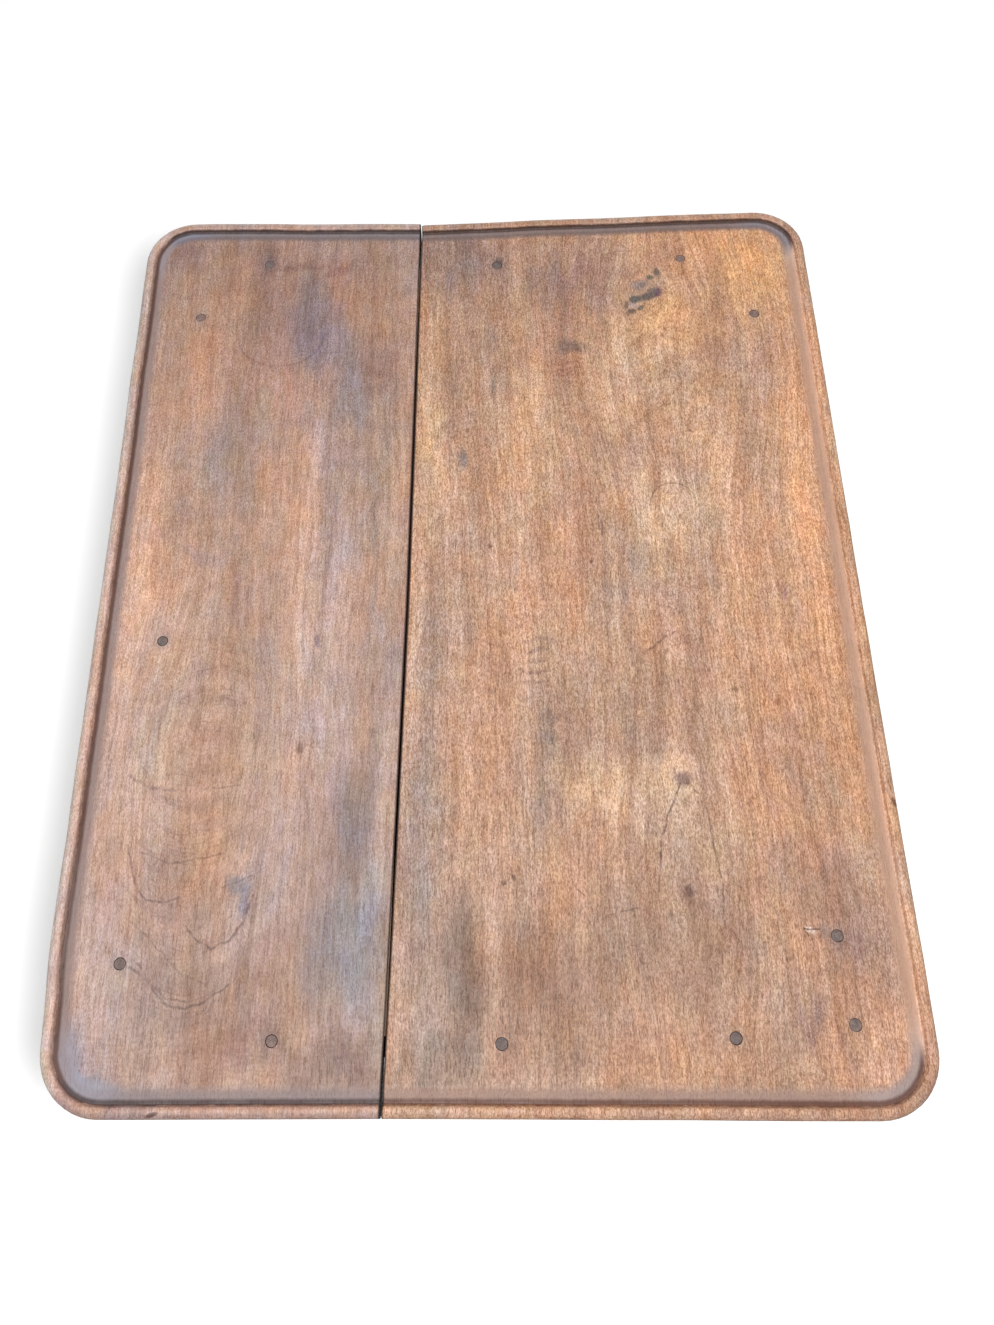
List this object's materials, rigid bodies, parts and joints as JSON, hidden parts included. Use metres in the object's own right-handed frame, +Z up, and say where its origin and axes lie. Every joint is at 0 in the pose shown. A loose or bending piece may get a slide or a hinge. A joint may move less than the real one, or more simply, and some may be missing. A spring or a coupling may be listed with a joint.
{
  "type": "games table",
  "caption": "Wooden games table with a dished, pegged two-board top, scalloped apron, cabriole legs and a frieze drawer.",
  "frame": {"origin": "on the floor, under the middle of the top", "axes": "+X towards the drawer's side, +Y along the boards' grain, +Z up"},
  "size_m": [0.7, 0.886, 0.725],
  "materials": {
    "left_board": "waxed, worn, greyed in the gutter",
    "right_board": "waxed, worn, more golden",
    "frame": "waxed",
    "plain": "dry, unpolished",
    "pegs": "dark end grain",
    "knob": "handled, satin",
    "nails": "forged, rusted"
  },
  "bodies": {
    "table": {"top_board_left": "left_board", "top_board_right": "right_board", "top_tongue": "frame", "top_pegs": "pegs", "leg_far_right": "frame", "leg_far_left": "frame", "leg_near_left": "frame", "leg_near_right": "frame", "rail_left": "frame", "rail_right": "frame", "rail_near": "frame", "rail_far": "frame", "frame_pegs": "pegs", "runner_near": "plain", "runner_far": "plain", "drawer_stops": "plain"},
    "drawer": {"drawer_front": "frame", "drawer_side_near": "plain", "drawer_side_far": "plain", "drawer_back": "plain", "drawer_bottom": "plain", "drawer_nails": "nails", "drawer_knob": "knob"}
  },
  "joints": [
    {"name": "drawer_slide", "type": "slide", "parent": "table", "child": "drawer", "axis": [1, 0, 0], "range_m": [0, 0.3]}
  ]
}
